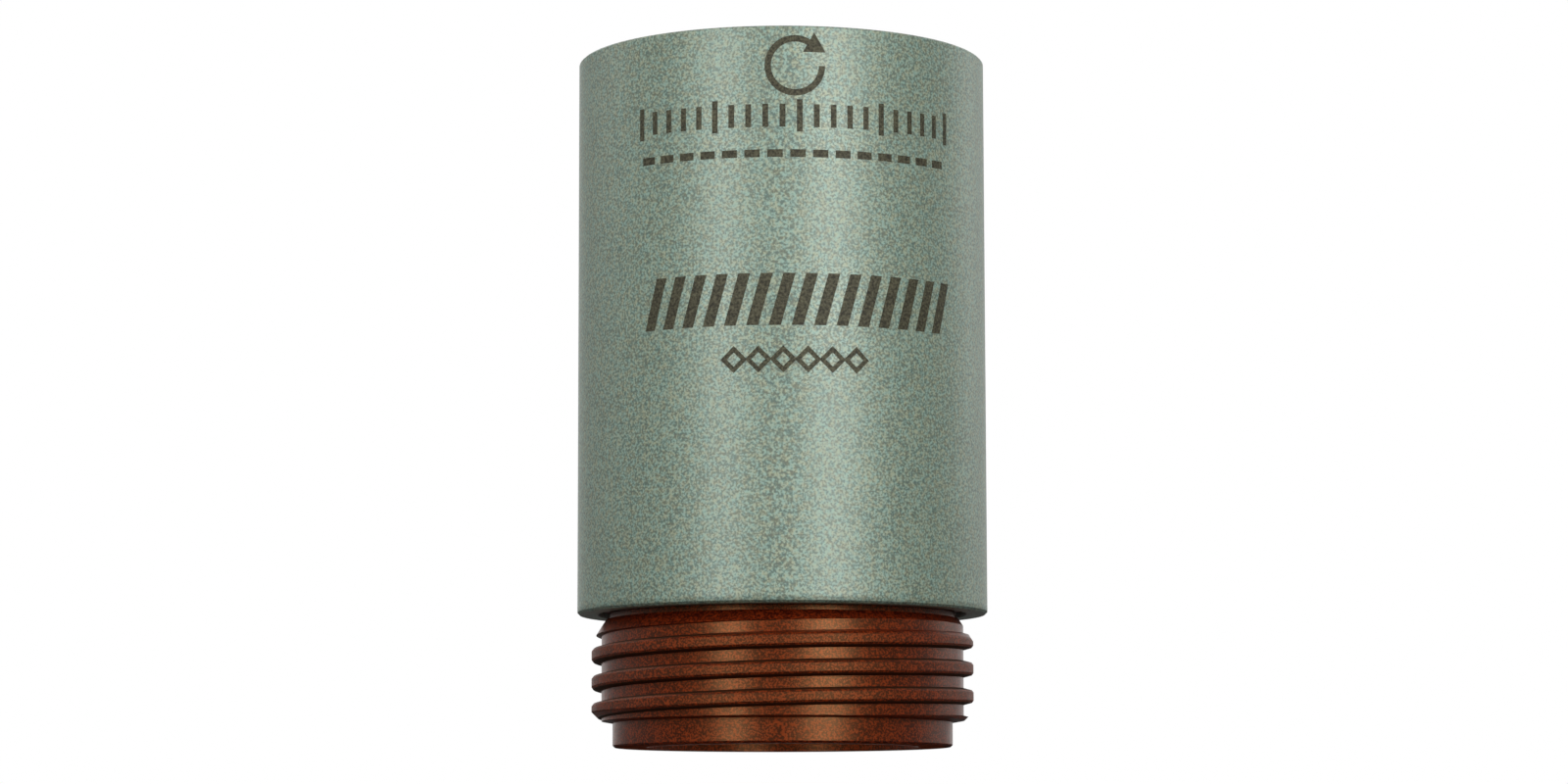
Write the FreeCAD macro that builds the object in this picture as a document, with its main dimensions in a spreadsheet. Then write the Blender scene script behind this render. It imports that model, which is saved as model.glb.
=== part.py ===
import FreeCAD, Part
import os
import Sketcher

"""Front cap of a cutting torch: a metal sleeve over a threaded insulator with a metal liner.

Millimetres and degrees. The axis is Z, the nose face lies on Z = 0 and the mouth looks up.
The front of the cap looks towards -Y. Every size goes into the sheet named sizes, and the
outlines are bound to it by expressions.
"""

SIZES = {
    "overall_height": 45.75,
    "bond_gap": 0.05,
    "cut_overrun": 0.3,
    # Sleeve, from its outside inwards
    "shell_radius": 13.6,
    "shell_bottom": 8.75,
    "shell_wall": 1.80,
    "shell_foot_wall": 1.35,
    "shell_edge_chamfer": 0.15,
    "shell_rim_chamfer": 0.10,
    "shell_mouth_chamfer": 0.45,
    # Nose of the insulator
    "thread_radius": 12.65,
    "thread_pitch": 25.4 / 14,
    "thread_depth": 0.66,
    "thread_root_width": 0.69,
    "thread_flank": 15.0,
    "thread_crest_break": 0.12,
    "thread_start_height": 0.60,
    "thread_end_gap": 0.25,
    "thread_lead_in": 0.60,
    "ledge_slope": 10.0,
    "spigot_step": 1.40,
    "spigot_height": 1.60,
    "spigot_edge": 0.13,
    "cone_length": 1.49,
    "neck_gap": 0.33,
    "neck_step": 0.25,
    "relief_wall": 1.20,
    # The insulator inside the sleeve
    "collar_lift": 0.35,
    "collar_length": 3.30,
    "insulator_wall": 1.50,
    "mouth_recess": 1.0,
    "seal_depth": 3.75,
    "seal_step": 0.35,
    "seal_lead_in": 0.6,
    "seal_lead_in_slope": 30.0,
    # Liner
    "seat_height": 4.0,
    "seat_width": 1.30,
    "boss_recess": 0.8,
    "boss_chamfer": 0.3,
    "floor_thickness": 2.4,
    "floor_width": 2.6,
    "cavity_wall": 1.6,
    "nozzle_seat_width": 0.8,
    "port_radius": 0.6,
    "port_wall": 0.35,
    "port_count": 8,
    "torch_thread_wall": 1.0,
    "torch_thread_length": 9.0,
    "torch_relief_height": 1.8,
    "torch_relief_depth": 0.30,
    "liner_mouth_chamfer": 0.6,
}

# Radii that follow from the sizes above, from the outside inwards
SHELL_BORE = "(sizes.shell_radius - sizes.shell_wall)"
SHELL_FOOT_BORE = "(sizes.shell_radius - sizes.shell_foot_wall)"
COLLAR = f"({SHELL_FOOT_BORE} - sizes.bond_gap)"
SLEEVE = f"({SHELL_BORE} - sizes.bond_gap)"
INSULATOR_BORE = f"({SLEEVE} - sizes.insulator_wall)"
RELIEF = f"({INSULATOR_BORE} + sizes.relief_wall)"
SEAL_BORE = f"({INSULATOR_BORE} + sizes.seal_step)"
LINER = f"({INSULATOR_BORE} - sizes.bond_gap)"
BOSS = f"({LINER} - sizes.seat_width)"
NOSE_BORE = f"({BOSS} + sizes.bond_gap)"
TORCH_THREAD = f"({LINER} - sizes.torch_thread_wall)"
CAVITY = f"({LINER} - sizes.cavity_wall)"
PORT_CIRCLE = f"({CAVITY} - sizes.port_radius - sizes.port_wall)"
NOZZLE_BORE = f"({CAVITY} - sizes.floor_width)"
SPIGOT = "(sizes.thread_radius - sizes.spigot_step)"
LEDGE = "(sizes.thread_radius - sizes.thread_lead_in)"
THREAD_ROOT = "(sizes.thread_radius - sizes.thread_depth)"

# Heights that follow, from the nose up
LEDGE_TOP = f"(sizes.spigot_height + ({LEDGE} - {SPIGOT}) * tan(sizes.ledge_slope * 1 deg))"
CONE_TOP = "(sizes.shell_bottom - sizes.neck_gap)"
CONE_BOTTOM = f"({CONE_TOP} - sizes.cone_length)"
COLLAR_BOTTOM = "(sizes.shell_bottom + sizes.collar_lift)"
COLLAR_TOP = "(sizes.shell_bottom + sizes.collar_length)"
FLOOR = "(sizes.seat_height + sizes.floor_thickness)"
INSULATOR_TOP = "(sizes.overall_height - sizes.mouth_recess)"
LINER_TOP = f"({INSULATOR_TOP} - sizes.seal_depth)"
TORCH_THREAD_BOTTOM = f"({LINER_TOP} - sizes.torch_thread_length)"
TORCH_RELIEF_BOTTOM = f"({TORCH_THREAD_BOTTOM} - sizes.torch_relief_height)"

# Gap between two turns of the nose thread
THREAD_RUN = "sizes.shell_bottom - sizes.thread_end_gap - sizes.thread_start_height"
THREAD_HALF_ROOT = "(sizes.thread_root_width / 2)"
THREAD_HALF_GAP = f"({THREAD_HALF_ROOT} + sizes.thread_depth * tan(sizes.thread_flank * 1 deg))"

# Points of sketch geometry: a side's two ends, a circle's centre, the sketch's own origin
START = 1
END = 2
CENTRE = 3
ORIGIN = (-1, 1)


def make_sheet(doc):
    """Writes every size into one sheet, each under its own name."""
    sheet = doc.addObject("Spreadsheet::Sheet", "sizes")
    for row, (name, value) in enumerate(SIZES.items(), start=1):
        sheet.set(f"A{row}", name)
        sheet.set(f"B{row}", repr(value))
        sheet.setAlias(f"B{row}", name)
    doc.recompute()
    return sheet


def origin_feature(body, role):
    """Returns the body's own origin plane or axis with the given role."""
    return next(item for item in body.Origin.OriginFeatures if item.Role == role)


def new_sketch(body, name, plane_role):
    """Starts a sketch on one of the body's origin planes."""
    sketch = body.newObject("Sketcher::SketchObject", name)
    sketch.AttachmentSupport = [(origin_feature(body, plane_role), "")]
    sketch.MapMode = "FlatFace"
    return sketch


def draw_outline(sketch, sheet, corners):
    """Draws a closed outline of straight sides, with each corner tied to the sheet.

    A corner is a pair of expressions: its distance across, which is the radius in the
    outlines below, and its height along the axis.
    """
    places = [FreeCAD.Vector(sheet.evalExpression(across), sheet.evalExpression(along), 0)
              for across, along in corners]
    for index, place in enumerate(places):
        following = places[(index + 1) % len(places)]
        sketch.addGeometry(Part.LineSegment(place, following), False)
    for index, (across, along) in enumerate(corners):
        previous = (index - 1) % len(corners)
        sketch.addConstraint(Sketcher.Constraint("Coincident", previous, END, index, START))
        bind(sketch, "DistanceX", (index, START), across, places[index].x)
        bind(sketch, "DistanceY", (index, START), along, places[index].y)


def bind(sketch, kind, point, text, value):
    """Holds a point of the sketch at a distance from the origin given by an expression."""
    number = sketch.addConstraint(Sketcher.Constraint(kind, *ORIGIN, *point, value))
    sketch.setExpression(f"Constraints[{number}]", text)


def revolve(body, sketch, name):
    """Turns an outline a full turn about the axis."""
    turned = body.newObject("PartDesign::Revolution", name)
    turned.Profile = sketch
    turned.ReferenceAxis = (sketch, ["V_Axis"])
    turned.Angle = 360
    return turned


def cut_helix(body, sketch, name, pitch, height):
    """Sweeps an outline up a right-hand helix about the axis and takes it away."""
    groove = body.newObject("PartDesign::SubtractiveHelix", name)
    groove.Profile = sketch
    groove.ReferenceAxis = (sketch, ["V_Axis"])
    groove.Mode = "pitch-height-angle"
    groove.setExpression("Pitch", pitch)
    groove.setExpression("Height", height)
    return groove


def make_shell(doc, sheet):
    """Sleeve: a turned tube with a wider bore at its foot, where it sits on the collar."""
    body = doc.addObject("PartDesign::Body", "outer_shell")
    outline = new_sketch(body, "shell_outline", "XZ_Plane")
    draw_outline(outline, sheet, [
        (SHELL_FOOT_BORE, "sizes.shell_bottom"),
        ("sizes.shell_radius - sizes.shell_edge_chamfer", "sizes.shell_bottom"),
        ("sizes.shell_radius", "sizes.shell_bottom + sizes.shell_edge_chamfer"),
        ("sizes.shell_radius", "sizes.overall_height - sizes.shell_rim_chamfer"),
        ("sizes.shell_radius - sizes.shell_rim_chamfer", "sizes.overall_height"),
        (f"{SHELL_BORE} + sizes.shell_mouth_chamfer", "sizes.overall_height"),
        (SHELL_BORE, "sizes.overall_height - sizes.shell_mouth_chamfer"),
        (SHELL_BORE, COLLAR_TOP),
        (SHELL_FOOT_BORE, COLLAR_TOP),
    ])
    revolve(body, outline, "shell_turned")
    return body


def make_insulator(doc, sheet):
    """Insulator: threaded nose, neck, collar and the long tube inside the sleeve.

    The thread starts above a ledge, on a lead-in of 45 degrees.
    """
    body = doc.addObject("PartDesign::Body", "insulator_body")
    outline = new_sketch(body, "insulator_outline", "XZ_Plane")
    draw_outline(outline, sheet, [
        (NOSE_BORE, "0"),
        (f"{SPIGOT} - sizes.spigot_edge", "0"),
        (SPIGOT, "sizes.spigot_edge"),
        (SPIGOT, "sizes.spigot_height"),
        (LEDGE, LEDGE_TOP),
        ("sizes.thread_radius", f"{LEDGE_TOP} + sizes.thread_lead_in"),
        ("sizes.thread_radius", CONE_BOTTOM),
        (f"{RELIEF} + sizes.neck_step", CONE_TOP),
        (RELIEF, CONE_TOP),
        (RELIEF, COLLAR_BOTTOM),
        (COLLAR, COLLAR_BOTTOM),
        (COLLAR, COLLAR_TOP),
        (SLEEVE, COLLAR_TOP),
        (SLEEVE, INSULATOR_TOP),
        (f"{SEAL_BORE} + sizes.seal_lead_in * tan(sizes.seal_lead_in_slope * 1 deg)",
         INSULATOR_TOP),
        (SEAL_BORE, f"{INSULATOR_TOP} - sizes.seal_lead_in"),
        (SEAL_BORE, LINER_TOP),
        (INSULATOR_BORE, LINER_TOP),
        (INSULATOR_BORE, "sizes.seat_height"),
        (NOSE_BORE, "sizes.seat_height"),
    ])
    revolve(body, outline, "insulator_turned")
    groove = draw_nose_groove(body, sheet)
    cut_helix(body, groove, "nose_thread", "sizes.thread_pitch", THREAD_RUN)
    return body


def draw_nose_groove(body, sheet):
    """Outline of the gap between two turns, wide enough at the top to break the crest edges."""
    groove = new_sketch(body, "nose_groove_outline", "XZ_Plane")
    centre = "sizes.thread_start_height"
    crest_break = "sizes.thread_crest_break"
    flank_radius = f"sizes.thread_radius - {crest_break} * cos(sizes.thread_flank * 1 deg)"
    flank_height = f"({THREAD_HALF_GAP} - {crest_break} * sin(sizes.thread_flank * 1 deg))"
    crest_height = f"({THREAD_HALF_GAP} + {crest_break})"
    outside = "sizes.thread_radius + sizes.cut_overrun"
    draw_outline(groove, sheet, [
        (THREAD_ROOT, f"{centre} - {THREAD_HALF_ROOT}"),
        (flank_radius, f"{centre} - {flank_height}"),
        ("sizes.thread_radius", f"{centre} - {crest_height}"),
        (outside, f"{centre} - {crest_height}"),
        (outside, f"{centre} + {crest_height}"),
        ("sizes.thread_radius", f"{centre} + {crest_height}"),
        (flank_radius, f"{centre} + {flank_height}"),
        (THREAD_ROOT, f"{centre} + {THREAD_HALF_ROOT}"),
    ])
    return groove


def make_liner(doc, sheet):
    """Liner: stepped bore from the thread for the torch to the nozzle seat, with gas ports.

    The bore for the thread is drawn at the thread's outer radius.
    """
    body = doc.addObject("PartDesign::Body", "inner_liner")
    outline = new_sketch(body, "liner_outline", "XZ_Plane")
    draw_outline(outline, sheet, [
        (NOZZLE_BORE, "sizes.boss_recess"),
        (f"{BOSS} - sizes.boss_chamfer", "sizes.boss_recess"),
        (BOSS, "sizes.boss_recess + sizes.boss_chamfer"),
        (BOSS, "sizes.seat_height"),
        (LINER, "sizes.seat_height"),
        (LINER, LINER_TOP),
        (f"{TORCH_THREAD} + sizes.liner_mouth_chamfer", LINER_TOP),
        (TORCH_THREAD, f"{LINER_TOP} - sizes.liner_mouth_chamfer"),
        (TORCH_THREAD, TORCH_THREAD_BOTTOM),
        (f"{TORCH_THREAD} + sizes.torch_relief_depth", TORCH_THREAD_BOTTOM),
        (f"{TORCH_THREAD} + sizes.torch_relief_depth", TORCH_RELIEF_BOTTOM),
        (CAVITY, TORCH_RELIEF_BOTTOM),
        (CAVITY, FLOOR),
        (f"{NOZZLE_BORE} + sizes.nozzle_seat_width", FLOOR),
        (NOZZLE_BORE, f"{FLOOR} - sizes.nozzle_seat_width"),
    ])
    revolve(body, outline, "liner_turned")
    cut_ports(doc, body, sheet)
    return body


def cut_ports(doc, body, sheet):
    """Drills one gas port up through the floor of the liner and repeats it round the axis."""
    drill = new_sketch(body, "port_outline", "XY_Plane")
    centre = FreeCAD.Vector(sheet.evalExpression(PORT_CIRCLE), 0, 0)
    circle = Part.Circle(centre, FreeCAD.Vector(0, 0, 1), SIZES["port_radius"])
    index = drill.addGeometry(circle, False)
    bind(drill, "DistanceX", (index, CENTRE), PORT_CIRCLE, centre.x)
    bind(drill, "DistanceY", (index, CENTRE), "0", centre.y)
    number = drill.addConstraint(Sketcher.Constraint("Radius", index, circle.Radius))
    drill.setExpression(f"Constraints[{number}]", "sizes.port_radius")
    port = body.newObject("PartDesign::Pocket", "port")
    port.Profile = drill
    port.Reversed = True
    port.setExpression("Length", f"{FLOOR} + sizes.cut_overrun")
    doc.recompute()
    ring = body.newObject("PartDesign::PolarPattern", "port_ring")
    ring.Originals = [port]
    ring.Axis = (origin_feature(body, "Z_Axis"), [""])
    ring.Angle = 360
    ring.setExpression("Occurrences", "sizes.port_count")
    body.Tip = ring


def check_document(doc, bodies):
    """Stops if a feature failed, a cut took nothing away or a sub-part isn't one sound solid."""
    for item in doc.Objects:
        if "Invalid" in item.State or "Error" in item.State:
            raise RuntimeError(f"{item.Name} failed: {item.State}")
    for body in bodies:
        shape = body.Shape
        if shape.isNull() or not shape.isValid() or len(shape.Solids) != 1:
            raise RuntimeError(f"{body.Label} is not one sound solid")
        before = None
        for feature in body.Group:
            if not feature.isDerivedFrom("PartDesign::Feature"):
                continue
            volume = feature.Shape.Volume
            if before is not None and volume >= before:
                raise RuntimeError(f"{feature.Name} took nothing away")
            before = volume


def main():
    """Builds the cap, checks it and writes one file per sub-part."""
    doc = FreeCAD.newDocument("torch_cap")
    sheet = make_sheet(doc)
    bodies = [make(doc, sheet) for make in (make_shell, make_insulator, make_liner)]
    for body in bodies:
        body.Label = body.Name
        body.Placement = FreeCAD.Placement()
    doc.recompute()
    check_document(doc, bodies)
    os.makedirs("parts", exist_ok=True)
    for body in bodies:
        body.Shape.exportStep(f"parts/{body.Label}.step")
        print(f"{body.Label}: {body.Shape.Volume:.1f} mm3, {len(body.Shape.Faces)} faces")


main()
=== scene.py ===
import contextlib
import logging
import math
from dataclasses import dataclass, field
from enum import Enum
from typing import Callable, Iterator, Sequence

import bmesh
import bpy
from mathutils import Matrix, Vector


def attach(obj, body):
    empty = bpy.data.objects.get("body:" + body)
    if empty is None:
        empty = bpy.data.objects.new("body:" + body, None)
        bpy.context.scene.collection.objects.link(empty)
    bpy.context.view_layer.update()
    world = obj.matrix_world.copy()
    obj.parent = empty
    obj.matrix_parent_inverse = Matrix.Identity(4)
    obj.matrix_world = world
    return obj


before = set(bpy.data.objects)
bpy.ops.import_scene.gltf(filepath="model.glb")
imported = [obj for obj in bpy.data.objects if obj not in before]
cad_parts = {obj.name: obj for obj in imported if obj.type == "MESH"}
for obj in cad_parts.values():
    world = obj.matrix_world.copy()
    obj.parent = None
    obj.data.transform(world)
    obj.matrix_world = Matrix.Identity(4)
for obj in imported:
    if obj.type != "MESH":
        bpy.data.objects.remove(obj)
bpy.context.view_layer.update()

MM = 0.001
ORIGIN = (0.0, 0.0, 0.0)
WELD = 0.00001 * MM
UPRIGHT = math.radians(90)
WHITE = (1.0, 1.0, 1.0, 1.0)
RING_STRETCH = (0.02, 0.02, 1.0)

Colour = tuple[float, float, float, float]
Span = tuple[float, float]

log = logging.getLogger("torch_cap")


def linear(red: int, green: int, blue: int) -> Colour:
    """Turns a screen colour into the linear colour that a shader takes.

    Args:
        red: Red from 0 to 255.
        green: Green from 0 to 255.
        blue: Blue from 0 to 255.

    Returns:
        The linear colour with an alpha of 1.
    """
    def channel(step: int) -> float:
        """One channel on the screen's own curve."""
        share = step / 255
        return share / 12.92 if share <= 0.04045 else ((share + 0.055) / 1.055) ** 2.4
    return channel(red), channel(green), channel(blue), 1.0


class Signal:
    """A number that varies over a surface; arithmetic on it adds Math nodes."""

    def __init__(self, shading: "Shading", socket: bpy.types.NodeSocket) -> None:
        """Wraps an output socket of one of the shading's nodes."""
        self.shading = shading
        self.socket = socket

    def _with(self, operation: str, first: "Signal | float", second: "Signal | float") -> "Signal":
        """Adds one Math node and wraps what comes out of it."""
        node = self.shading.add("ShaderNodeMath", {"operation": operation}, {0: first, 1: second})
        return Signal(self.shading, node.outputs[0])

    def __add__(self, other: "Signal | float") -> "Signal":
        """Sum."""
        return self._with("ADD", self, other)

    def __radd__(self, other: float) -> "Signal":
        """Sum, with the number first."""
        return self._with("ADD", other, self)

    def __sub__(self, other: "Signal | float") -> "Signal":
        """Difference."""
        return self._with("SUBTRACT", self, other)

    def __rsub__(self, other: float) -> "Signal":
        """Difference, with the number first."""
        return self._with("SUBTRACT", other, self)

    def __mul__(self, other: "Signal | float") -> "Signal":
        """Product."""
        return self._with("MULTIPLY", self, other)

    def __rmul__(self, other: float) -> "Signal":
        """Product, with the number first."""
        return self._with("MULTIPLY", other, self)

    def larger(self, other: "Signal | float") -> "Signal":
        """The larger of the two."""
        return self._with("MAXIMUM", self, other)

    def root(self) -> "Signal":
        """Square root."""
        return self._with("SQRT", self, 0.0)


class Shading:
    """The nodes of one material or of the world, under construction."""

    def __init__(self, owner: bpy.types.Material | bpy.types.World) -> None:
        """Starts with no nodes at all.

        Args:
            owner: The material or world whose nodes are built.
        """
        owner.use_nodes = True
        self.owner = owner
        self.tree = owner.node_tree
        self.tree.nodes.clear()

    def add(self, kind: str, settings: dict, inputs: dict) -> bpy.types.Node:
        """Adds a node, sets it up and joins its sockets.

        Args:
            kind: The node's type.
            settings: The node's own properties, which are set first.
            inputs: Values, signals or sockets by the socket's name or number.

        Returns:
            The new node.
        """
        node = self.tree.nodes.new(kind)
        for name, setting in settings.items():
            setattr(node, name, setting)
        for key, given in inputs.items():
            source = given.socket if isinstance(given, Signal) else given
            if isinstance(source, bpy.types.NodeSocket):
                self.tree.links.new(source, node.inputs[key])
            else:
                node.inputs[key].default_value = source
        return node

    def read(self, kind: str, output: str) -> Signal:
        """Reads one output of a node that has no inputs, such as the light path."""
        return Signal(self, self.add(kind, {}, {}).outputs[output])

    def place(self, stretch: Sequence[float] = (1.0, 1.0, 1.0)) -> bpy.types.NodeSocket:
        """Gives the piece's own coordinates in metres, scaled along each axis.

        In the world, which has no surface, they are the direction that is looked in.

        Args:
            stretch: Scale along each axis.

        Returns:
            The socket that gives them.
        """
        source = self.add("ShaderNodeTexCoord", {}, {})
        mapped = self.add("ShaderNodeMapping", {}, {"Vector": source.outputs["Object"], "Scale": stretch})
        return mapped.outputs["Vector"]

    def along(self, axis: str) -> Signal:
        """Gives one of the coordinates, by the letter of its axis."""
        parts = self.add("ShaderNodeSeparateXYZ", {}, {"Vector": self.place()})
        return Signal(self, parts.outputs[axis])

    def radius(self) -> Signal:
        """Gives the distance from the cap's axis in metres."""
        across, along = self.along("X"), self.along("Y")
        return (across * across + along * along).root()

    def noise(self, grain: float, detail: float = 2.0,
              stretch: Sequence[float] = (1.0, 1.0, 1.0)) -> Signal:
        """Adds a noise of a given grain.

        Args:
            grain: Size of the grains in metres.
            detail: Octaves of finer noise on top.
            stretch: Scale along each axis, to draw the grains out.

        Returns:
            The noise, as far above 0 as below it.
        """
        node = self.add("ShaderNodeTexNoise", {}, {
            "Vector": self.place(stretch), "Scale": 1.0 / grain, "Detail": detail})
        return Signal(self, node.outputs["Fac"]) - 0.5

    def rings(self, pitch: float) -> Signal:
        """Adds a noise drawn out into fine rings round the cap, about a pitch apart."""
        return self.noise(pitch, stretch=RING_STRETCH)

    def ramp(self, value: Signal, low: float, high: float) -> Signal:
        """Rises smoothly from 0 at the low value to 1 at the high one."""
        node = self.add("ShaderNodeMapRange", {"interpolation_type": "SMOOTHSTEP"}, {
            "Value": value, "From Min": low, "From Max": high})
        return Signal(self, node.outputs["Result"])

    def blend(self, factor: Signal, first: Colour | bpy.types.NodeSocket,
              second: Colour | bpy.types.NodeSocket) -> bpy.types.NodeSocket:
        """Mixes two colours by a signal, from the first at 0 to the second at 1."""
        node = self.add("ShaderNodeMix", {"data_type": "RGBA"}, {0: factor, 6: first, 7: second})
        return node.outputs[2]

    def bump(self, height: Signal, depth: float, strength: float = 0.5) -> bpy.types.NodeSocket:
        """Turns a height into a normal, for relief of a depth in metres."""
        node = self.add("ShaderNodeBump", {}, {
            "Height": height, "Distance": depth, "Strength": strength})
        return node.outputs["Normal"]

    def cover(self, factor: Signal, under: bpy.types.Node, over: bpy.types.Node) -> bpy.types.Node:
        """Mixes two shaders by a signal, from the one under at 0 to the one over at 1."""
        return self.add("ShaderNodeMixShader", {}, {0: factor, 1: under.outputs[0], 2: over.outputs[0]})

    def finish(self, surface: bpy.types.Node) -> bpy.types.Material | bpy.types.World:
        """Joins the surface to the output.

        Args:
            surface: The last shader node.

        Returns:
            The finished material or world.
        """
        kind = "World" if isinstance(self.owner, bpy.types.World) else "Material"
        self.add(f"ShaderNodeOutput{kind}", {}, {"Surface": surface.outputs[0]})
        return self.owner


@dataclass(frozen=True)
class BlastedMetal:
    """Grey-green anodised metal with the coarse sparkle that blasting leaves.

    Single grains are darker or lighter than the whole, and some are warmer in colour. The lower
    edge looks softly rolled over. Grain relief and edge roll are in millimetres, and a contrast
    says how far a noise moves the colour.
    """

    name: str = "blasted_shell_metal"
    shade: Colour = linear(84, 109, 99)
    light: Colour = linear(144, 174, 160)
    warm_shade: Colour = linear(102, 109, 89)
    warm_light: Colour = linear(162, 170, 142)
    tone_middle: float = 0.5
    metallic: float = 0.25
    gloss: float = 0.9
    roughness: float = 0.51
    film: float = 0.40
    film_roughness: float = 0.38
    sparkle: float = 0.15 * MM
    sparkle_detail: float = 3.0
    sparkle_contrast: float = 5.2
    sparkle_roughness: float = 0.3
    tint: float = 0.28 * MM
    tint_contrast: float = 3.4
    tint_middle: float = 0.45
    cloud: float = 3.0 * MM
    cloud_contrast: float = 0.25
    bottom: float = 8.75 * MM
    edge_reach: float = 0.5 * MM
    edge_roll: float = 0.26
    grain_relief: float = 0.012

    def build(self) -> bpy.types.Material:
        """Makes the material.

        Returns:
            The finished material.
        """
        shading = Shading(bpy.data.materials.new(self.name))
        grain = shading.noise(self.sparkle, detail=self.sparkle_detail)
        tint = shading.noise(self.tint)
        cloud = shading.noise(self.cloud)
        over_bottom = shading.along("Z") - self.bottom
        rolled = shading.ramp(over_bottom, -self.edge_reach, self.edge_reach)
        tone = grain * self.sparkle_contrast + cloud * self.cloud_contrast + self.tone_middle
        green = shading.blend(tone, self.shade, self.light)
        warm = shading.blend(tone, self.warm_shade, self.warm_light)
        surface = shading.add("ShaderNodeBsdfPrincipled", {}, {
            "Base Color": shading.blend(tint * self.tint_contrast + self.tint_middle, green, warm),
            "Metallic": self.metallic,
            "Specular IOR Level": self.gloss,
            "Roughness": grain * self.sparkle_roughness + self.roughness,
            "Coat Weight": self.film,
            "Coat Roughness": self.film_roughness,
            "Normal": shading.bump(grain * self.grain_relief + rolled * self.edge_roll, MM, strength=1.0),
        })
        return shading.finish(surface)


@dataclass(frozen=True)
class TurnedInsulator:
    """Red-brown insulator, glossy where it is turned.

    The crests of the nose's thread are a little duller. Its flanks are rougher and carry painted shade, a
    dark colour where shade falls between the ridges. Radii and heights
    are those of the nose: a ledge, a lead-in of 45 degrees and the thread.
    """

    name: str = "red_brown_insulator"
    shade: Colour = linear(44, 4, 2)
    light: Colour = linear(124, 44, 14)
    # Painted shade: the dark colour painted on the thread's flanks, where shade falls between the ridges.
    painted_flank_shade: Colour = linear(14, 5, 2)
    tone_middle: float = 0.29
    sheen: Colour = (1.0, 0.49, 0.21, 1.0)
    gloss: float = 0.75
    roughness: float = 0.33
    crest_roughness: float = 0.15
    flank_roughness: float = 0.3
    root_radius: float = 12.02 * MM
    crest_radius: float = 12.58 * MM
    lead_in_start: float = 12.05 * MM
    lead_in_height: float = 1.74 * MM
    thread_top: float = 6.93 * MM
    edge: float = 0.06 * MM
    mottle: float = 0.6 * MM
    mottle_detail: float = 3.0
    mottle_contrast: float = 1.2
    mottle_roughness: float = 0.2
    fleck: float = 0.13 * MM
    fleck_contrast: float = 8.5
    fleck_relief: float = 1.5
    ring_pitch: float = 0.10 * MM
    ring_contrast: float = 0.5
    relief: float = 0.008 * MM

    def build(self) -> bpy.types.Material:
        """Makes the material.

        Returns:
            The finished material.
        """
        shading = Shading(bpy.data.materials.new(self.name))
        mottle = shading.noise(self.mottle, detail=self.mottle_detail)
        fleck = shading.noise(self.fleck)
        rings = shading.rings(self.ring_pitch)
        tone = mottle * self.mottle_contrast + fleck * self.fleck_contrast + rings * self.ring_contrast
        turned = shading.blend(tone + self.tone_middle, self.shade, self.light)
        radius, height = shading.radius(), shading.along("Z")
        crest = shading.ramp(radius, self.crest_radius - self.edge, self.crest_radius)
        flanks = self.flanks(shading, radius, height, crest)
        roughness = crest * self.crest_roughness + flanks * self.flank_roughness + self.roughness
        surface = shading.add("ShaderNodeBsdfPrincipled", {}, {
            # The flanks are painted dark here, as painted shade between the thread's ridges.
            "Base Color": shading.blend(flanks, turned, self.painted_flank_shade),
            "Roughness": mottle * self.mottle_roughness + roughness,
            "Specular IOR Level": self.gloss,
            "Specular Tint": self.sheen,
            "Normal": shading.bump(rings + fleck * self.fleck_relief, self.relief),
        })
        return shading.finish(surface)

    def flanks(self, shading: Shading, radius: Signal, height: Signal, crest: Signal) -> Signal:
        """Gives 1 on the flanks of the thread, where shade is painted and roughness raised, and 0 on its
        roots, its crests and all round it.

        Args:
            shading: The nodes of the material.
            radius: Distance from the cap's axis.
            height: Height above the foot of the nose.
            crest: 1 on the crests of the thread.

        Returns:
            The signal of the flanks.
        """
        above_root = shading.ramp(radius, self.root_radius, self.root_radius + self.edge)
        over_lead_in = height - self.lead_in_height - (radius - self.lead_in_start)
        inside = shading.ramp(over_lead_in, self.edge / 2, self.edge)
        below_cone = 1.0 - shading.ramp(height, self.thread_top - self.edge, self.thread_top)
        return (above_root - crest) * inside * below_cone


@dataclass(frozen=True)
class TurnedBrass:
    """Bare brass with the rings of a lathe tool."""

    name: str = "turned_liner_brass"
    shade: Colour = linear(176, 132, 62)
    light: Colour = linear(214, 178, 104)
    roughness: float = 0.30
    ring_pitch: float = 0.12 * MM
    ring_contrast: float = 0.5
    relief: float = 0.01 * MM
    tarnish: float = 2.5 * MM
    tarnish_detail: float = 4.0
    tarnish_contrast: float = 1.2
    tarnish_roughness: float = 0.2
    tone_middle: float = 0.5

    def build(self) -> bpy.types.Material:
        """Makes the material.

        Returns:
            The finished material.
        """
        shading = Shading(bpy.data.materials.new(self.name))
        rings = shading.rings(self.ring_pitch)
        tarnish = shading.noise(self.tarnish, detail=self.tarnish_detail)
        tone = rings * self.ring_contrast + tarnish * self.tarnish_contrast + self.tone_middle
        surface = shading.add("ShaderNodeBsdfPrincipled", {}, {
            "Base Color": shading.blend(tone, self.shade, self.light),
            "Metallic": 1.0,
            "Roughness": tarnish * self.tarnish_roughness + self.roughness,
            "Normal": shading.bump(rings, self.relief),
        })
        return shading.finish(surface)


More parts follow.
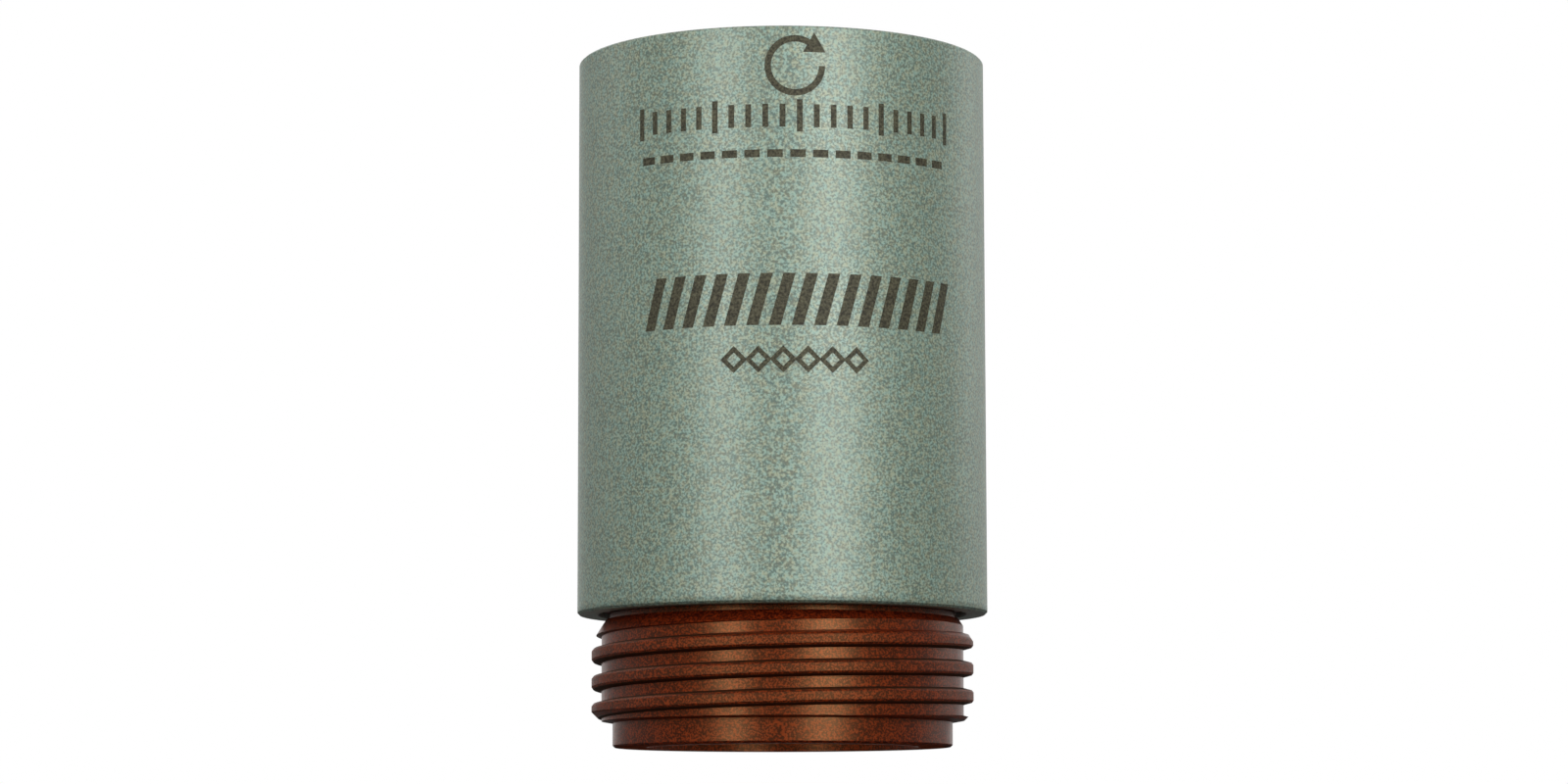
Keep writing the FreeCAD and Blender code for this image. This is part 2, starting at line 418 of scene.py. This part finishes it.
@dataclass(frozen=True)
class BurntMark:
    """Dark brownish metal where a laser has burnt the surface, in fine lines."""

    name: str = "burnt_mark"
    shade: Colour = linear(44, 41, 27)
    light: Colour = linear(98, 95, 72)
    metallic: float = 0.25
    roughness: float = 0.62
    speck: float = 0.16 * MM
    speck_contrast: float = 2.6
    line_pitch: float = 0.06 * MM
    line_contrast: float = 0.6
    tone_middle: float = 0.35
    relief: float = 0.01 * MM

    def build(self) -> bpy.types.Material:
        """Makes the material.

        Returns:
            The finished material.
        """
        shading = Shading(bpy.data.materials.new(self.name))
        speck = shading.noise(self.speck)
        lines = shading.rings(self.line_pitch)
        tone = speck * self.speck_contrast + lines * self.line_contrast + self.tone_middle
        surface = shading.add("ShaderNodeBsdfPrincipled", {}, {
            "Base Color": shading.blend(tone, self.shade, self.light),
            "Metallic": self.metallic,
            "Roughness": self.roughness,
            "Normal": shading.bump(lines, self.relief),
        })
        return shading.finish(surface)


class Bench:
    """Modelling by hand: one piece at a time is picked up, shaped and put down."""

    @staticmethod
    def clear() -> None:
        """Puts everything down."""
        bpy.ops.object.select_all(action="DESELECT")

    @staticmethod
    def hold(piece: bpy.types.Object) -> None:
        """Picks up one piece alone.

        Args:
            piece: The piece.
        """
        Bench.clear()
        piece.select_set(True)
        bpy.context.view_layer.objects.active = piece

    @staticmethod
    def name(name: str) -> bpy.types.Object:
        """Names the piece in hand and its mesh.

        Args:
            name: The new name of both.

        Returns:
            The piece.
        """
        piece = bpy.context.object
        piece.name = name
        piece.data.name = name
        return piece

    @staticmethod
    def set_place() -> None:
        """Moves the place, turn and scale of the piece in hand into its mesh."""
        bpy.ops.object.transform_apply(location=True, rotation=True, scale=True)

    @staticmethod
    def resize(*scale: float) -> None:
        """Scales the piece in hand along its own axes and sets its place."""
        bpy.context.object.scale = scale
        Bench.set_place()

    @staticmethod
    @contextlib.contextmanager
    def shaping() -> Iterator[None]:
        """Edits the piece in hand, with all of it selected at the start."""
        bpy.ops.object.mode_set(mode="EDIT")
        bpy.ops.mesh.select_all(action="SELECT")
        yield
        bpy.ops.object.mode_set(mode="OBJECT")

    @staticmethod
    def pick(kind: str, test: Callable[[Vector], bool]) -> None:
        """Selects the vertices or faces of the edited mesh whose middle passes a test, and no others.

        Args:
            kind: VERT or FACE.
            test: Takes the middle and says whether it is wanted.
        """
        bpy.ops.mesh.select_all(action="DESELECT")
        bpy.ops.mesh.select_mode(type=kind)
        mesh = bpy.context.object.data
        shape = bmesh.from_edit_mesh(mesh)
        if kind == "VERT":
            wanted = [vertex for vertex in shape.verts if test(vertex.co)]
        else:
            wanted = [face for face in shape.faces if test(face.calc_center_median())]
        for element in wanted:
            element.select_set(True)
        shape.select_flush_mode()
        bmesh.update_edit_mesh(mesh)

    @staticmethod
    def modify(kind: str, **settings: object) -> None:
        """Puts a modifier on the piece in hand and applies it.

        Args:
            kind: The modifier's type.
            **settings: The modifier's own properties.
        """
        bpy.ops.object.modifier_add(type=kind)
        modifier = bpy.context.object.modifiers[-1]
        for key, setting in settings.items():
            setattr(modifier, key, setting)
        bpy.ops.object.modifier_apply(modifier=modifier.name)

    @staticmethod
    def copy(piece: bpy.types.Object) -> bpy.types.Object:
        """Copies a piece with a mesh of its own and picks the copy up.

        Args:
            piece: The piece to copy.

        Returns:
            The copy.
        """
        Bench.hold(piece)
        bpy.ops.object.duplicate(linked=False)
        return bpy.context.object

    @staticmethod
    def join(pieces: Sequence[bpy.types.Object], name: str) -> bpy.types.Object:
        """Joins pieces into the first of them, which is then in hand.

        Args:
            pieces: The pieces to join.
            name: The name of the whole.

        Returns:
            The whole.
        """
        Bench.hold(pieces[0])
        for piece in pieces:
            piece.select_set(True)
        bpy.ops.object.join()
        return Bench.name(name)

    @staticmethod
    def tidy(smooth_under: float) -> None:
        """Welds the piece in hand, turns its faces outwards and smooths its shallow edges.

        Args:
            smooth_under: Edges that bend by fewer degrees are smoothed.
        """
        with Bench.shaping():
            bpy.ops.mesh.remove_doubles(threshold=WELD)
            bpy.ops.mesh.normals_make_consistent(inside=False)
        bpy.ops.object.shade_smooth_by_angle(angle=math.radians(smooth_under))

    @staticmethod
    def turn(degrees: float) -> None:
        """Turns what is selected in the edited mesh round the cap's axis, anticlockwise from above."""
        bpy.ops.transform.rotate(value=-math.radians(degrees), orient_axis="Z", center_override=ORIGIN)


def dress(piece: bpy.types.Object, material: bpy.types.Material) -> None:
    """Gives a piece one material in place of any that it has."""
    piece.data.materials.clear()
    piece.data.materials.append(material)


def ride(piece: bpy.types.Object) -> None:
    """Fixes a new piece to the cap."""
    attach(piece, "root")


class MarkShape(Enum):
    """What one mark of a row looks like."""

    BAR = "upright, level or leaning bar"
    LOZENGE = "open square on its corner"


@dataclass(frozen=True)
class MarkRow:
    """A row of like marks round the front of the sleeve.

    Sizes are in metres and azimuths in degrees from the front towards +X. A bar's size is its
    width and height, and a lozenge's its width and stroke. The lean says how far a bar's top
    stands to the right of its foot. Every so many marks one may be taller, and at 0 none is.
    """

    name: str
    shape: MarkShape
    height: float
    first: float
    last: float
    count: int
    size: Span
    lean: float = 0.0
    tall_every: int = 0

    def azimuth(self, index: int) -> float:
        """Where a mark of the row stands."""
        return self.first + (self.last - self.first) * index / (self.count - 1)


@dataclass
class Shell:
    """The metal sleeve and the burnt marks on its front."""

    node: bpy.types.Object
    finish: BlastedMetal = field(default_factory=BlastedMetal)
    mark_finish: BurntMark = field(default_factory=BurntMark)
    radius: float = 13.6 * MM
    mark_lift: float = 0.003 * MM
    mark_depth: float = 0.03 * MM
    mark_cuts: int = 3
    tall_scale: float = 1.4
    arrow_azimuth: float = 3.75
    arrow_height: float = 43.15 * MM
    arrow_radius: float = 1.76 * MM
    arrow_stroke: float = 0.42 * MM
    arrow_steps: int = 48
    arrow_gap: float = 60.0
    arrow_head: float = 0.86 * MM
    rows: tuple[MarkRow, ...] = (
        MarkRow("upper_scale", MarkShape.BAR, height=39.90 * MM, first=-41.5, last=51.5, count=21,
                size=(0.38 * MM, 1.50 * MM), tall_every=5),
        MarkRow("lower_scale", MarkShape.BAR, height=37.45 * MM, first=-39.0, last=48.0, count=15,
                size=(1.00 * MM, 0.50 * MM)),
        MarkRow("bold_band", MarkShape.BAR, height=28.05 * MM, first=-36.5, last=49.0, count=15,
                size=(0.78 * MM, 3.35 * MM), lean=0.95 * MM),
        MarkRow("batch_marks", MarkShape.LOZENGE, height=24.2 * MM, first=-13.0, last=20.5, count=6,
                size=(1.75 * MM, 0.30 * MM)),
    )

    def build(self) -> list[bpy.types.Object]:
        """Dresses the sleeve and makes its marks.

        Returns:
            The new pieces.
        """
        dress(self.node, self.finish.build())
        material = self.mark_finish.build()
        marks = [self.make_turn_arrow(), *(self.make_row(row) for row in self.rows)]
        for mark in marks:
            dress(mark, material)
            ride(mark)
        return marks

    def at_front(self, height: float, across: float = 0.0, along: float = 0.0) -> Vector:
        """Gives a point in front of the sleeve, to the right of and above a height on its axis."""
        return Vector((across, -self.radius, height + along))

    def lay_on(self, piece: bpy.types.Object) -> bpy.types.Object:
        """Lays a flat piece on the sleeve and gives it a thickness inwards.

        Args:
            piece: The flat piece at the front, which is in hand.

        Returns:
            The finished piece.
        """
        Bench.modify("CAST", cast_type="CYLINDER", factor=1.0, radius=0.0, use_z=False,
                     use_radius_as_size=False, size=self.radius + self.mark_lift)
        Bench.modify("SOLIDIFY", thickness=self.mark_depth, offset=-1.0)
        Bench.tidy(smooth_under=40.0)
        return piece

    def make_bar(self, row: MarkRow) -> bpy.types.Object:
        """Makes a flat bar at the front, leaning to the right where its row does.

        Args:
            row: The row that the bar is for.

        Returns:
            The bar.
        """
        bpy.ops.mesh.primitive_plane_add(
            size=1.0, location=self.at_front(row.height, -row.lean / 2), rotation=(UPRIGHT, 0.0, 0.0))
        Bench.resize(*row.size, 1.0)
        with Bench.shaping():
            Bench.pick("VERT", lambda place: place.z > row.height)
            bpy.ops.transform.translate(value=(row.lean, 0.0, 0.0))
            bpy.ops.mesh.select_all(action="SELECT")
            bpy.ops.mesh.subdivide(number_cuts=self.mark_cuts)
        return bpy.context.object

    def make_lozenge(self, row: MarkRow) -> bpy.types.Object:
        """Makes an open square on its corner at the front.

        Args:
            row: The row that the square is for.

        Returns:
            The square.
        """
        across, stroke = row.size
        bpy.ops.mesh.primitive_circle_add(
            vertices=4, radius=across / 2, fill_type="NGON",
            location=self.at_front(row.height), rotation=(UPRIGHT, 0.0, 0.0))
        Bench.set_place()
        with Bench.shaping():
            bpy.ops.mesh.inset(thickness=stroke)
            bpy.ops.mesh.delete(type="FACE")
            bpy.ops.mesh.select_all(action="SELECT")
            bpy.ops.mesh.subdivide(number_cuts=self.mark_cuts)
        return bpy.context.object

    def make_row(self, row: MarkRow) -> bpy.types.Object:
        """Makes one mark, copies it along its row and lays the whole row on the sleeve.

        Args:
            row: The row.

        Returns:
            All marks of the row, as one piece.
        """
        Bench.clear()
        make = {MarkShape.BAR: self.make_bar, MarkShape.LOZENGE: self.make_lozenge}[row.shape]
        pattern = make(row)
        marks = [pattern, *(Bench.copy(pattern) for _ in range(row.count - 1))]
        for index, mark in enumerate(marks):
            Bench.hold(mark)
            with Bench.shaping():
                if row.tall_every and index % row.tall_every == 0:
                    bpy.ops.transform.resize(
                        value=(1.0, 1.0, self.tall_scale), center_override=self.at_front(row.height))
                Bench.turn(row.azimuth(index))
        return self.lay_on(Bench.join(marks, row.name))

    def make_turn_arrow(self) -> bpy.types.Object:
        """Makes an open ring that ends in an arrow head, the sign for turning to the right.

        Returns:
            The arrow.
        """
        arrow = Bench.join([self.make_open_ring(), self.make_arrow_head()], "turn_arrow")
        with Bench.shaping():
            Bench.turn(self.arrow_azimuth)
        return self.lay_on(arrow)

    def make_open_ring(self) -> bpy.types.Object:
        """Makes the arrow's flat ring at the front, open at its upper right.

        Returns:
            The ring.
        """
        Bench.clear()
        bpy.ops.mesh.primitive_circle_add(
            vertices=self.arrow_steps, radius=self.arrow_radius + self.arrow_stroke / 2,
            fill_type="NGON", location=self.at_front(self.arrow_height), rotation=(UPRIGHT, 0.0, 0.0))
        Bench.set_place()
        with Bench.shaping():
            bpy.ops.mesh.inset(thickness=self.arrow_stroke)
            bpy.ops.mesh.delete(type="FACE")
            Bench.pick("FACE", self.in_arrow_gap)
            bpy.ops.mesh.delete(type="FACE")
        return bpy.context.object

    def make_arrow_head(self) -> bpy.types.Object:
        """Makes the arrow's flat head at the ring's upper end, pointing along the ring.

        Returns:
            The head.
        """
        gap = math.radians(self.arrow_gap)
        across = self.arrow_radius * math.cos(gap) + self.arrow_head / 2 * math.sin(gap)
        along = self.arrow_radius * math.sin(gap) - self.arrow_head / 2 * math.cos(gap)
        Bench.clear()
        bpy.ops.mesh.primitive_circle_add(
            vertices=3, radius=self.arrow_head, fill_type="NGON",
            location=self.at_front(self.arrow_height, across, along),
            rotation=(UPRIGHT, math.pi - gap, 0.0))
        Bench.set_place()
        with Bench.shaping():
            bpy.ops.mesh.subdivide(number_cuts=self.mark_cuts)
        return bpy.context.object

    def in_arrow_gap(self, middle: Vector) -> bool:
        """Says whether a point of the ring lies in the arrow's gap, right of its head."""
        angle = math.degrees(math.atan2(middle.z - self.arrow_height, middle.x))
        return 0.0 < angle < self.arrow_gap


@dataclass
class Insulator:
    """The red-brown insulator with the threaded nose."""

    node: bpy.types.Object
    finish: TurnedInsulator = field(default_factory=TurnedInsulator)

    def build(self) -> list[bpy.types.Object]:
        """Dresses the insulator, which needs no new pieces."""
        dress(self.node, self.finish.build())
        return []


@dataclass
class Liner:
    """The brass liner and the turns of the thread for the torch."""

    node: bpy.types.Object
    finish: TurnedBrass = field(default_factory=TurnedBrass)
    bore_radius: float = 9.2 * MM
    thread_depth: float = 0.55 * MM
    thread_pitch: float = 1.5 * MM
    base_width: float = 1.15 * MM
    crest_width: float = 0.52 * MM
    first_turn: float = 32.7 * MM
    turns: int = 5
    steps: int = 96
    sink: float = 0.02 * MM

    def build(self) -> list[bpy.types.Object]:
        """Dresses the liner and makes the turns of its thread.

        Returns:
            The new piece.
        """
        material = self.finish.build()
        dress(self.node, material)
        thread = self.make_thread()
        dress(thread, material)
        ride(thread)
        return [thread]

    def make_thread(self) -> bpy.types.Object:
        """Winds a ridge with a narrow crest up the inside of the bore.

        Returns:
            The ridge.
        """
        Bench.clear()
        depth = self.thread_depth + self.sink
        middle = self.bore_radius + self.sink - depth / 2
        bpy.ops.mesh.primitive_plane_add(
            size=1.0, location=(middle, 0.0, self.first_turn), rotation=(UPRIGHT, 0.0, 0.0))
        Bench.resize(depth, self.base_width, 1.0)
        with Bench.shaping():
            Bench.pick("VERT", lambda place: place.x < middle)
            bpy.ops.transform.resize(
                value=(1.0, 1.0, self.crest_width / self.base_width),
                center_override=(middle, 0.0, self.first_turn))
            bpy.ops.mesh.select_all(action="SELECT")
            bpy.ops.mesh.delete(type="ONLY_FACE")
        Bench.modify("SCREW", axis="Z", screw_offset=self.thread_pitch, iterations=self.turns,
                     steps=self.steps, render_steps=self.steps, use_merge_vertices=False)
        with Bench.shaping():
            bpy.ops.mesh.fill_holes(sides=0)
        ridge = Bench.name("torch_thread_turns")
        Bench.tidy(smooth_under=25.0)
        return ridge


@dataclass(frozen=True)
class Lamp:
    """One soft rectangular light, with its azimuth in degrees from the front towards +X.

    Distance, height and size are in metres and the power is in watts.
    """

    name: str
    azimuth: float
    distance: float
    height: float
    size: Span
    power: float

    def hang(self, aim: Vector) -> None:
        """Hangs the light in its place and aims it.

        Args:
            aim: The point that it shines at.
        """
        azimuth = math.radians(self.azimuth)
        place = Vector((math.sin(azimuth), -math.cos(azimuth), 0.0)) * self.distance
        place.z = self.height
        Bench.clear()
        bpy.ops.object.light_add(type="AREA", location=place)
        light = bpy.context.object
        light.name = self.name
        light.visible_camera = False
        light.data.shape = "RECTANGLE"
        light.data.size, light.data.size_y = self.size
        light.data.energy = self.power
        light.rotation_euler = (aim - place).to_track_quat("-Z", "Y").to_euler()


@dataclass
class Studio:
    """Pale floor, white surroundings, soft lights and the camera.

    Lengths are in metres, apart from the camera's lens and sensor, which are in millimetres. The
    backdrop's edges are in degrees from straight behind the cap.
    """

    floor_size: float = 3.0
    floor_drop: float = 0.02 * MM
    floor_tone: Colour = (0.80, 0.80, 0.80, 1.0)
    floor_bounce: Colour = (0.15, 0.15, 0.15, 1.0)
    floor_haze: float = 0.35
    floor_fade: Span = (0.10, 0.60)
    stand_radius: float = 10.6 * MM
    mirrored_stand_radius: float = 8.6 * MM
    stand_edge: float = 0.5 * MM
    surround: float = 0.33
    backdrop_edges: Span = (38.0, 12.0)
    aim_height: float = 25.0 * MM
    lamps: tuple[Lamp, ...] = (
        Lamp("front_light_left", azimuth=-32.5, distance=0.55, height=0.10, size=(0.14, 0.34), power=1.25),
        Lamp("front_light_right", azimuth=27.5, distance=0.55, height=0.10, size=(0.23, 0.34), power=1.92),
        Lamp("back_light_left", azimuth=-110.0, distance=0.60, height=0.35, size=(0.30, 0.30), power=0.60),
        Lamp("back_light_right", azimuth=126.0, distance=0.60, height=0.20, size=(0.30, 0.30), power=0.36),
        Lamp("back_fill", azimuth=180.0, distance=0.50, height=0.42, size=(0.40, 0.30), power=1.10),
        Lamp("under_light", azimuth=0.0, distance=0.001, height=-0.30, size=(0.10, 0.10), power=0.12),
    )
    camera_place: tuple[float, float, float] = (0.07 * MM, -264.6 * MM, -7.45 * MM)
    camera_pitch: float = 6.71
    camera_lean: float = 0.13
    camera_lens: float = 91.5
    camera_sensor: float = 36.0
    camera_clip: float = 0.01

    def build(self) -> None:
        """Sets up all of it."""
        self.make_floor()
        self.make_world()
        for lamp in self.lamps:
            lamp.hang(Vector((0.0, 0.0, self.aim_height)))
        self.make_camera()
        bpy.context.scene.view_settings.view_transform = "Standard"

    @staticmethod
    def lookers(shading: Shading) -> tuple[Signal, Signal]:
        """Tells apart who looks at a surface.

        Args:
            shading: The nodes of the material or world.

        Returns:
            Two signals: 1 for what the camera sees, and 1 for what gloss and glass show.
        """
        path = "ShaderNodeLightPath"
        camera = shading.read(path, "Is Camera Ray")
        mirrored = shading.read(path, "Is Glossy Ray").larger(shading.read(path, "Is Transmission Ray"))
        return camera, mirrored

    def make_floor(self) -> None:
        """Lays a pale floor that is seen from above only and throws little light back up.

        It holds the cap's shadow and fades into the white surroundings further out. Light from
        below passes it where the cap stands, so that the underside can be seen.
        """
        Bench.clear()
        bpy.ops.mesh.primitive_plane_add(size=self.floor_size, location=(0.0, 0.0, -self.floor_drop))
        Bench.set_place()
        floor = Bench.name("floor")
        shading = Shading(bpy.data.materials.new("pale_floor"))
        camera, mirrored = self.lookers(shading)
        radius = shading.radius()
        below = shading.read("ShaderNodeNewGeometry", "Backfacing")
        reach = self.stand_radius - mirrored * (self.stand_radius - self.mirrored_stand_radius)
        under_cap = (1.0 - shading.ramp(radius - reach, 0.0, self.stand_edge)) * (1.0 - camera)
        far = shading.ramp(radius, *self.floor_fade)
        white_share = far * camera.larger(mirrored) + (1.0 - far) * camera * self.floor_haze
        pale = shading.add("ShaderNodeBsdfDiffuse", {}, {
            "Color": shading.blend(camera, self.floor_bounce, self.floor_tone)})
        white = shading.add("ShaderNodeEmission", {}, {"Color": WHITE, "Strength": 1.0})
        clear = shading.add("ShaderNodeBsdfTransparent", {}, {})
        seen = shading.cover(white_share, pale, white)
        dress(floor, shading.finish(shading.cover(under_cap.larger(below), seen, clear)))

    def make_world(self) -> None:
        """Makes the surroundings white to the eye and soft grey as a light.

        Gloss shows the white backdrop behind the cap and the grey room elsewhere.
        """
        world = bpy.data.worlds.new("white_room")
        bpy.context.scene.world = world
        shading = Shading(world)
        camera, mirrored = self.lookers(shading)
        outer, inner = (math.cos(math.radians(edge)) for edge in self.backdrop_edges)
        behind = shading.ramp(shading.along("Y"), outer, inner)
        room = shading.add("ShaderNodeBackground", {}, {"Color": WHITE, "Strength": self.surround})
        white = shading.add("ShaderNodeBackground", {}, {"Color": WHITE, "Strength": 1.0})
        shading.finish(shading.cover(camera.larger(mirrored * behind), room, white))

    def make_camera(self) -> None:
        """Puts the camera low in front of the cap, looking slightly up and leaning a trace."""
        Bench.clear()
        bpy.ops.object.camera_add(
            location=self.camera_place,
            rotation=(UPRIGHT + math.radians(self.camera_pitch), math.radians(self.camera_lean), 0.0))
        camera = bpy.context.object
        camera.data.lens = self.camera_lens
        camera.data.sensor_width = self.camera_sensor
        camera.data.clip_start = self.camera_clip
        bpy.context.scene.camera = camera


def main() -> None:
    """Builds and dresses each part of the cap and sets up the studio."""
    logging.basicConfig(level=logging.INFO, format="%(message)s")
    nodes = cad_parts
    parts = (
        Shell(nodes["outer_shell"]),
        Insulator(nodes["insulator_body"]),
        Liner(nodes["inner_liner"]),
    )
    for part in parts:
        for piece in part.build():
            log.info("%s: %s, %d faces", type(part).__name__, piece.name, len(piece.data.polygons))
    Studio().build()


if __name__ == "__main__":
    main()
